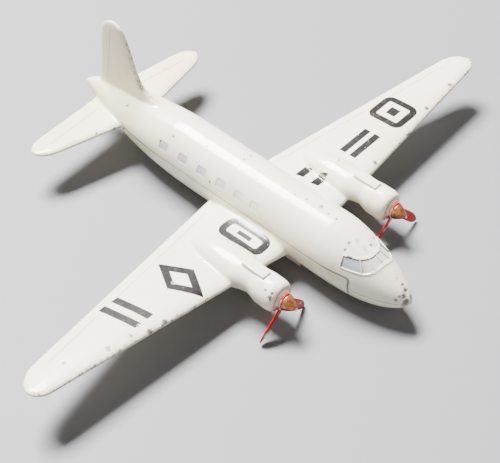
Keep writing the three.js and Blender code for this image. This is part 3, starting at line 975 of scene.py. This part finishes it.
# the wing marks are plain shapes that spell nothing: framed blocks, a lozenge and paired bars
marks = {
    "width": 1.7, "ink": (28, 25, 24), "worn": (104, 96, 90),
    "frames": ((-11, -13, 2.2, 5.2, 1.5), (42.3, -11.6, 3.6, 3.9, 1.3)),
    "blocks": ((-11, -13, 0.6, 1.9), (42.3, -11.6, 1.3, 1.3)),
    "lozenge": (-29.6, -12.4, 2.9, 5.0),
    "bars": ((28.8, -11.1, 4.7, 0.85), (28.8, -14, 4.7, 0.85)),
    "slantedBars": ((-42.1, -11.2, 0.9, 4.4), (-45.5, -11.2, 0.9, 4.4),
                    (13.2, -9, 1.7, 1), (13.2, -13.4, 1.7, 1)),
    "slant": 0.2,
    "soft": 0.07,  # half the width over which a painted edge fades
}


def wingMarks(f):
    m, x, y, soft = marks, f.x, f.y, marks["soft"]
    x0, y0, halfX, halfY = m["lozenge"]
    lozenge = abs(x - x0) / halfX + abs(y - y0) / halfY - 1
    mask = stroke(lozenge * (halfX * halfY / math.hypot(halfX, halfY)), m["width"])
    for x0, y0, halfX, halfY, corner in m["frames"]:
        mask = mask.most(stroke(roundedBox(x - x0, y - y0, halfX, halfY, corner), m["width"]))
    for x0, y0, halfX, halfY in m["blocks"] + m["bars"]:
        mask = mask.most(roundedBox(x - x0, y - y0, halfX, halfY, 0.12).fade(soft, -soft))
    for x0, y0, halfX, halfY in m["slantedBars"]:
        slanted = (x - x0) + (y - y0) * m["slant"]
        mask = mask.most(roundedBox(slanted, y - y0, halfX, halfY, 0.12).fade(soft, -soft))
    facing = f.add("SeparateXYZ", {}, {0: f.add("TexCoord", {}, {}, "Normal")}, "Z")
    return mask * facing.fade(0.3, 0.6) * f.z.fade(4, 5)


enamel = {
    # the one dark colour serves real smudges and painted shade in corners and under the panes' frame
    "white": (238, 233, 213), "ivory": (236, 223, 184), "stain": (216, 196, 150), "grime": (128, 121, 108),
    "metal": (92, 86, 82), "rubbed": (196, 188, 184), "primer": (206, 128, 110),
    "pane": (156, 160, 166), "window": (150, 153, 170),
    "roughness": 0.2,
    "darkChips": ((-1.4, 12.9, 16.6, 0.52), (-4.4, 15, 15.2, 0.5), (-2.6, 6.4, 16.2, 0.48),
        (-2.6, 3.2, 16.2, 0.46), (-0.1, -2.6, 16.8, 0.46), (1.9, -2.8, 16.5, 0.44),
        (-2.6, -8.7, 16.2, 0.44), (-0.7, -18, 16.7, 0.46), (0, -20.6, 16.8, 0.5),
        (-0.1, -26.8, 16.8, 0.44), (-0.1, -29, 16.8, 0.5), (-6.7, 1.5, 11.6, 0.52),
        (-5.9, 17.7, 13.2, 0.44), (-3.4, 31.2, 14.2, 0.52), (0.8, -37.6, 14.6, 0.5),
        (3.2, -36.5, 14.1, 0.6), (2.2, -38.2, 14.1, 0.45), (-2.4, -34.3, 15.2, 0.5),
        (-3.8, -34.5, 14.3, 0.4), (-4.3, -36, 13.7, 0.5), (-4.0, -36.4, 13.6, 0.5),
        (0.5, -46.8, 9.7, 0.6), (0.3, -47.8, 9, 0.75), (-0.8, -48.3, 8.4, 0.8), (-2.4, -47.5, 7.8, 0.6),
        (-1.6, -47.8, 8.4, 0.45), (-1, -49.1, 7.2, 1.1), (0.6, -49, 7.4, 0.8),
        (-20.4, -29.5, 10.4, 0.6), (-21.1, -29.5, 9.7, 0.7), (-21.9, -28.4, 9.3, 0.5),
        (-20.8, -27.8, 10.5, 0.45), (-7.6, 31.6, 9.4, 0.6), (-11.8, 33, 9.7, 0.5), (19.2, -14, 11, 0.4),
        (18.2, -14, 11.1, 0.34), (-39.8, -18.2, 9, 0.85), (-43.7, -18, 9.2, 1),
        (-47.3, -16.5, 9.9, 0.7), (-52.6, -15.7, 10.2, 1), (-61.1, -12.6, 10.7, 0.9),
        (-44.6, -15.6, 9.7, 0.6), (-38.2, -14, 9.2, 0.45), (26.5, -18.9, 8.4, 0.8),
        (48.8, -16.7, 9.9, 0.8), (59.1, -15.9, 10.5, 0.9)),
    "redChips": ((-3.2, 9.8, 16, 0.5), (-0.2, -24.2, 16.8, 0.45), (-1.1, -37.6, 14.5, 1),
        (-0.9, -35.2, 15.3, 1), (0.3, -45.3, 10.8, 1), (-19.6, -29.6, 10.9, 1), (-6.1, 23.7, 12.2, 0.4),
        (-65, -13, 11, 0.5), (-68.4, -14.2, 11.1, 1.2), (-0.3, -41.6, 12.9, 0.5),
        (-0.5, 30.4, 18.9, 0.6), (0.1, 26.9, 16.9, 0.5)),
    "rubbedSpots": ((0.4, -46.9, 9.6, 1.1), (0, -48.1, 8.8, 1.3), (-1.4, -48, 8.3, 0.9),
        (1.2, -37.2, 14.5, 1.5), (-20.8, -29.2, 10, 1.1), (-0.8, -37, 14.8, 1.1),
        (-67.6, -13.6, 11.2, 1.8)),
    "stains": ((16.7, 38.6, 9.9, 2.6), (18.6, 36.6, 9.9, 2.2)),
    # height and distance aft of one point of the fin's leading edge, and the edge's slope
    "finEdge": ((27, 33.4), 0.36),
}


def seamDirt(f):
    # along the parting line of the two castings, round its front and rear ends
    p = parting
    middle, half = (p["frontY"] + p["rearY"]) / 2, (p["rearY"] - p["frontY"]) / 2
    low = -20
    centreZ, halfZ = (p["seamZ"] + low) / 2, (p["seamZ"] - low) / 2
    spread = f.y.fade(p["frontY"] + 1, p["frontY"] + 0.2) * 0.16 + 0.3
    line = 1 - abs(roundedBox(f.y - middle, f.z - centreZ, half, halfZ, p["corner"])) / spread
    return line.fade(0, 0.6) * abs(f.x).fade(p["wingFrom"], p["wingFrom"] - 0.3)


def cockpitPanes(f):
    c = cockpit
    angle = f.add("Math", {"operation": "ARCTAN2"}, {0: f.x, 1: c["axisY"] - f.y}) * math.degrees(1)
    turn = abs(angle)
    middle = ((c["riseWithin"] - turn) / c["riseWithin"]).most(0).least(1)
    low = middle * middle * (3 - middle * 2) * c["lowRise"] + c["low"]
    high = middle * c["highRise"] + c["high"]
    band = (f.z - low).fade(-0.04, 0.12) * (high - f.z).fade(-0.04, 0.12) * turn.fade(74.6, 74)
    glass = 0
    for start, end in c["panes"][3:]:
        glass = ((turn - start).fade(-0.6, 0.6) * (end - turn).fade(-0.6, 0.6)).most(glass)
    upperEdge = abs(f.z - high - 0.1).fade(0.22, 0.06) * turn.fade(76, 72)
    # a painted shadow in a thin band just under the lower lip of the panes' frame
    shadowUnderLip = abs(f.z - low + 0.42).fade(0.24, 0.06) * turn.fade(74, 70)
    return band * glass, band, upperEdge, shadowUnderLip, turn


def cabinWindows(f):
    nearest = 99
    for y in cabin["windowY"]:
        nearest = abs(f.y - y).least(nearest)
    box = roundedBox(nearest, f.z - cabin["z"], cabin["length"] / 2, cabin["height"] / 2, cabin["corner"])
    return box.fade(0.1, -0.1) * abs(f.x).fade(4, 4.4)


def enamelFinish():
    e = enamel
    f = Finish("aged_white_enamel")
    patches = f.noise(0.09, 4, 0.6)
    mottle = f.noise(0.45, 5, 0.65)
    fine = f.noise(1.9, 3, 0.6)
    torn = f.ragged(2.0, 1.0)

    # paint, yellowed towards the tail and on the wings
    aft = f.y.fade(8, 36)
    outboard = abs(f.x).fade(8, 30)
    yellowed = (aft * 0.55 + outboard * 0.2 + patches.fade(0.42, 0.72) * 0.45).least(1)
    colour = f.blend(yellowed, paint(*e["white"]), paint(*e["ivory"]))
    stain = f.spots(torn, e["stains"], 0.2) * mottle.fade(0.44, 0.6)
    colour = f.blend(stain * 0.8, colour, paint(*e["stain"]))
    smudge = mottle.fade(0.52, 0.75) * patches.fade(0.4, 0.65)
    colour = f.blend(smudge * 0.13, colour, paint(*e["grime"]))

    # cabin windows and cockpit panes are thin grey paint
    windows = cabinWindows(f) * (f.y.fade(-14, 9) * 0.62 + 0.1) * (0.8 + mottle * 0.4)
    colour = f.blend(windows, colour, paint(*e["window"]))
    panes, band, upperEdge, shadowUnderLip, turn = cockpitPanes(f)
    grey = (panes * 0.5 + band * 0.5) * (turn.fade(20, 38) * 0.4 + 0.45 + mottle * 0.15)
    colour = f.blend(grey.least(1), colour, paint(*e["pane"]))
    # painted shadow under the lower lip of the panes' frame
    colour = f.blend(shadowUnderLip * 0.35, colour, paint(*e["grime"]))

    # black marks, with specks worn out of them
    ink = wingMarks(f)
    flecks = f.noise(2.6, 4, 0.7).fade(0.65, 0.72)
    inked = ink * (1 - flecks * 0.75)
    black = f.blend(mottle.fade(0.5, 0.8) * 0.3, paint(*marks["ink"]), paint(*marks["worn"]))
    colour = f.blend(inked, colour, black)

    # dirt along the seam, and painted shade in the corners and creases, darkened where the skin's ambient
    # occlusion is low
    corner = f.add("AmbientOcclusion", {"samples": 4, "only_local": True}, {"Distance": 0.5 * mm}, "AO")
    seamDirtAndCornerShade = (seamDirt(f) * (0.7 + mottle * 0.4)).most(corner.fade(0.9, 0.4) * 0.5)
    colour = f.blend(seamDirtAndCornerShade.least(1) * 0.8, colour, paint(*e["grime"]))

    # bare metal where the paint is knocked off: listed chips, leading edges, nose and scattered specks
    lead = wing["rootLeadY"] + abs(f.x) * wing["leadSweep"]
    edge = (f.y - lead).fade(1.3, 0.1) * abs(f.x).fade(24, 32) * abs(f.z - 9).fade(6, 5)
    tip = abs(f.x).fade(66.5, 70)
    (height, behind), slope = e["finEdge"]
    finEdge = (f.y - (f.z - height) * slope - behind).fade(1.0, 0.2) * f.z.fade(17, 18.5)
    nose = (f.y - noseY).fade(2.6, 0.6) * 0.7
    rub = f.noise(1.1, 5, 0.75, torn)
    worn = (edge * 0.6).most(tip * 0.6).most(finEdge * 0.62).most(nose)
    rubbed = (rub + worn * 0.17).fade(0.65, 0.69) * worn.fade(0.1, 0.4)
    mauve = f.spots(torn, e["rubbedSpots"], 0.1) * mottle.fade(0.38, 0.55)
    colour = f.blend(mauve * 0.7, colour, paint(*e["rubbed"]))
    knocked = f.spots(torn, e["darkChips"], 0.25) * fine.fade(0.22, 0.42)
    metal = knocked.most(rubbed * 0.85).most(f.specks(0.22, 0.16, 0.12) * 0.6)
    primer = f.spots(torn, e["redChips"], 0.1) * fine.fade(0.38, 0.55)
    colour = f.blend(primer * 0.75, colour, paint(*e["primer"]))
    tint = f.blend(metal.fade(0.25, 0.8), paint(*e["rubbed"]), paint(*e["metal"]))
    colour = f.blend((metal * 1.4).least(0.85), colour, tint)

    height = f.noise(1.4, 2) * 0.005 + f.noise(0.16, 2) * 0.028
    height = height + inked * 0.012 - metal * 0.03 - primer * 0.015 + upperEdge * 0.05
    roughness = e["roughness"] + mottle * 0.1 + seamDirtAndCornerShade * 0.25 + metal * 0.2 + stain * 0.1
    return f.done(Base_Color=colour, Roughness=roughness.least(1), Metallic=metal * 0.5,
                  Specular_IOR_Level=0.35, Coat_Weight=0.25, Coat_Roughness=0.05, Normal=f.relief(height))


turnedBrass = {"light": (228, 158, 108), "deep": (176, 100, 64), "tarnish": (44, 22, 14),
               "tip": (246, 220, 184)}


def aboutPin(f, side):
    # distance from the pin's axis, and height above it
    away = hypot(f.x - sides[side] * engine["x"], f.z - engine["z"])
    return away, f.z - engine["z"]


def brassFinish(side):
    b = turnedBrass
    f = Finish(side + "_turned_brass")
    away, above = aboutPin(f, side)
    tipY = engine["frontY"] - pin["base"] - pin["coneLength"]
    blotch = f.noise(1.1, 4, 0.65)
    speck = f.noise(3.4, 3, 0.7)
    turned = f.noise(9, 2, 0.5, f.add("CombineXYZ", {}, {"Y": f.y, "X": away * 0.15}))
    colour = f.blend(blotch.fade(0.35, 0.65), paint(*b["light"]), paint(*b["deep"]))
    # tarnish in specks and turning marks, and painted shade darkening the cone's lower side below the pin's
    # axis
    tarnish = above.fade(0.9, -1.0) * 0.9 + speck.fade(0.5, 0.66) * 0.35 + turned.fade(0.5, 0.75) * 0.2
    tarnish = tarnish.least(0.9)
    colour = f.blend(tarnish, colour, paint(*b["tarnish"]))
    colour = f.blend((f.y - tipY).fade(0.5, 0.1) * 0.7, colour, paint(*b["tip"]))
    height = turned * 0.02 + speck * 0.01
    return f.done(Base_Color=colour, Metallic=0.9 - tarnish * 0.25, Roughness=0.34 + tarnish * 0.25,
                  Normal=f.relief(height))


rubbedCopper = {"light": (236, 204, 184), "deep": (214, 160, 138), "overspray": (236, 222, 208),
                "grime": (74, 44, 38)}


def copperFinish(side):
    c = rubbedCopper
    f = Finish(side + "_rubbed_copper")
    away, above = aboutPin(f, side)
    blotch = f.noise(1.3, 4, 0.65)
    speck = f.noise(4, 3, 0.7)
    colour = f.blend(blotch.fade(0.38, 0.6), paint(*c["light"]), paint(*c["deep"]))
    overspray = (speck.fade(0.42, 0.6) * above.fade(-0.8, 1.6)).least(1)
    colour = f.blend(overspray * 0.6, colour, paint(*c["overspray"]))
    # painted shade darkening the ring's lower side below the pin's axis, with grime in dark specks
    grime = above.fade(-0.2, -2).most(speck.fade(0.62, 0.7))
    colour = f.blend(grime * 0.75, colour, paint(*c["grime"]))
    turned = f.noise(8, 2, 0.5, f.add("CombineXYZ", {}, {"Y": f.y, "X": away}))
    return f.done(Base_Color=colour, Metallic=0.6 - overspray * 0.45, Roughness=0.38 + grime * 0.3,
                  Normal=f.relief(turned * 0.02 + speck * 0.012))


redEnamel = {
    "red": (208, 8, 8), "deep": (146, 3, 8), "bare": (232, 214, 206), "dark": (58, 22, 22),
    "bareSpots": {"port": ((14.7, -31.4, 4.1, 0.7), (22.6, -31.6, 3.1, 0.34)),
                  "starboard": ((-24.3, -31.3, 2.1, 0.85), (-12.9, -31.2, 2.5, 0.35))},
}


def redFinish(side):
    r = redEnamel
    f = Finish(side + "_worn_red_enamel")
    away, above = aboutPin(f, side)
    patches = f.noise(0.5, 3, 0.6)
    fine = f.noise(3.2, 4, 0.7)
    torn = f.ragged(2.4, 0.35)
    colour = f.blend(patches.fade(0.35, 0.7), paint(*r["red"]), paint(*r["deep"]))
    rim = away.fade(1.72, 1.9) * away.fade(2.12, 2.04) * above.fade(1.7, 1.2)
    bare = f.spots(torn, r["bareSpots"][side], 0.4).most(rim * fine.fade(0.36, 0.5) * 0.85)
    bare = bare.most(fine.fade(0.72, 0.76) * 0.5)
    colour = f.blend(bare, colour, paint(*r["bare"]))
    # dark blade tips from wear, and painted shade on the hub's rim below the pin's axis
    tip = away.fade(9.5, 9.9)
    grime = (tip * 0.8).most((above + 1).fade(0, -1) * away.fade(2.1, 1.6) * 0.8)
    colour = f.blend(grime, colour, paint(*r["dark"]))
    height = f.noise(1.8, 2) * 0.012 - bare * 0.02
    return f.done(Base_Color=colour, Roughness=0.26 + patches * 0.1 + bare * 0.3, Normal=f.relief(height),
                  Specular_IOR_Level=0.2, Coat_Weight=0.04, Coat_Roughness=0.1)


hammeredMetal = {"light": (168, 163, 154), "dark": (98, 92, 84)}


def rivetFinish():
    f = Finish("hammered_rivet_metal")
    dents = f.noise(1.6, 3, 0.6)
    speck = f.noise(5, 3, 0.7)
    light, dark = paint(*hammeredMetal["light"]), paint(*hammeredMetal["dark"])
    colour = f.blend(speck.fade(0.4, 0.7), light, dark)
    return f.done(Base_Color=colour, Metallic=0.85, Roughness=0.4 + speck * 0.25,
                  Normal=f.relief(dents * 0.06 + speck * 0.01))


studio = {
    "floorSize": 3, "floor": (124, 124, 127), "grain": (150, 150, 152),
    "key": {"place": (0.14, 0.74, 1.2), "size": (0.68, 0.42), "energy": 150, "aim": (0, 0, 0.005)},
    "fill": {"place": (-0.5, -0.25, 0.45), "size": (0.7, 0.7), "energy": 0.7, "aim": (0, 0, 0)},
    "room": (0.97, 0.98, 1.0), "roomLight": 0.26,
}


def softbox(name, box):
    place = Vector(box["place"])
    bpy.ops.object.light_add(type="AREA", location=place,
                             rotation=(place - Vector(box["aim"])).to_track_quat("Z", "Y").to_euler())
    light = bpy.context.object
    light.name = name
    light.data.shape = "RECTANGLE"
    light.data.size, light.data.size_y = box["size"]
    light.data.energy = box["energy"]


def coat(piece, material):
    # the cuts leave an empty slot behind, so the slots are cleared first
    piece.data.materials.clear()
    piece.data.materials.append(material)


def setStudio():
    restart()
    bpy.ops.mesh.primitive_plane_add(size=studio["floorSize"])
    floor = bpy.context.object
    floor.name = "pale_floor"
    f = Finish("pale_floor")
    grain = f.noise(0.4, 4, 0.6)
    colour = f.blend(grain * 0.06, paint(*studio["floor"]), paint(*studio["grain"]))
    coat(floor, f.done(Base_Color=colour, Roughness=0.62))
    softbox("key_softbox", studio["key"])
    softbox("fill_softbox", studio["fill"])
    world = bpy.data.worlds.new("studio_room")
    world.use_nodes = True
    background = world.node_tree.nodes["Background"]
    background.inputs["Color"].default_value = (*studio["room"], 1)
    background.inputs["Strength"].default_value = studio["roomLight"]
    bpy.context.scene.world = world


addCamera()
print("camera stands")
upper, lower = castings()
white = enamelFinish()
coat(upper, white)
coat(lower, white)
print("castings enamelled")
for side in sides:
    coat(propeller(side), redFinish(side))
    coat(collarRing(side), copperFinish(side))
    coat(spinnerPin(side), brassFinish(side))
print("airscrews on their pins")
rivetMetal = rivetFinish()
for which in ("front", "rear"):
    coat(rivet(which), rivetMetal)
print("rivets peened")
setStudio()
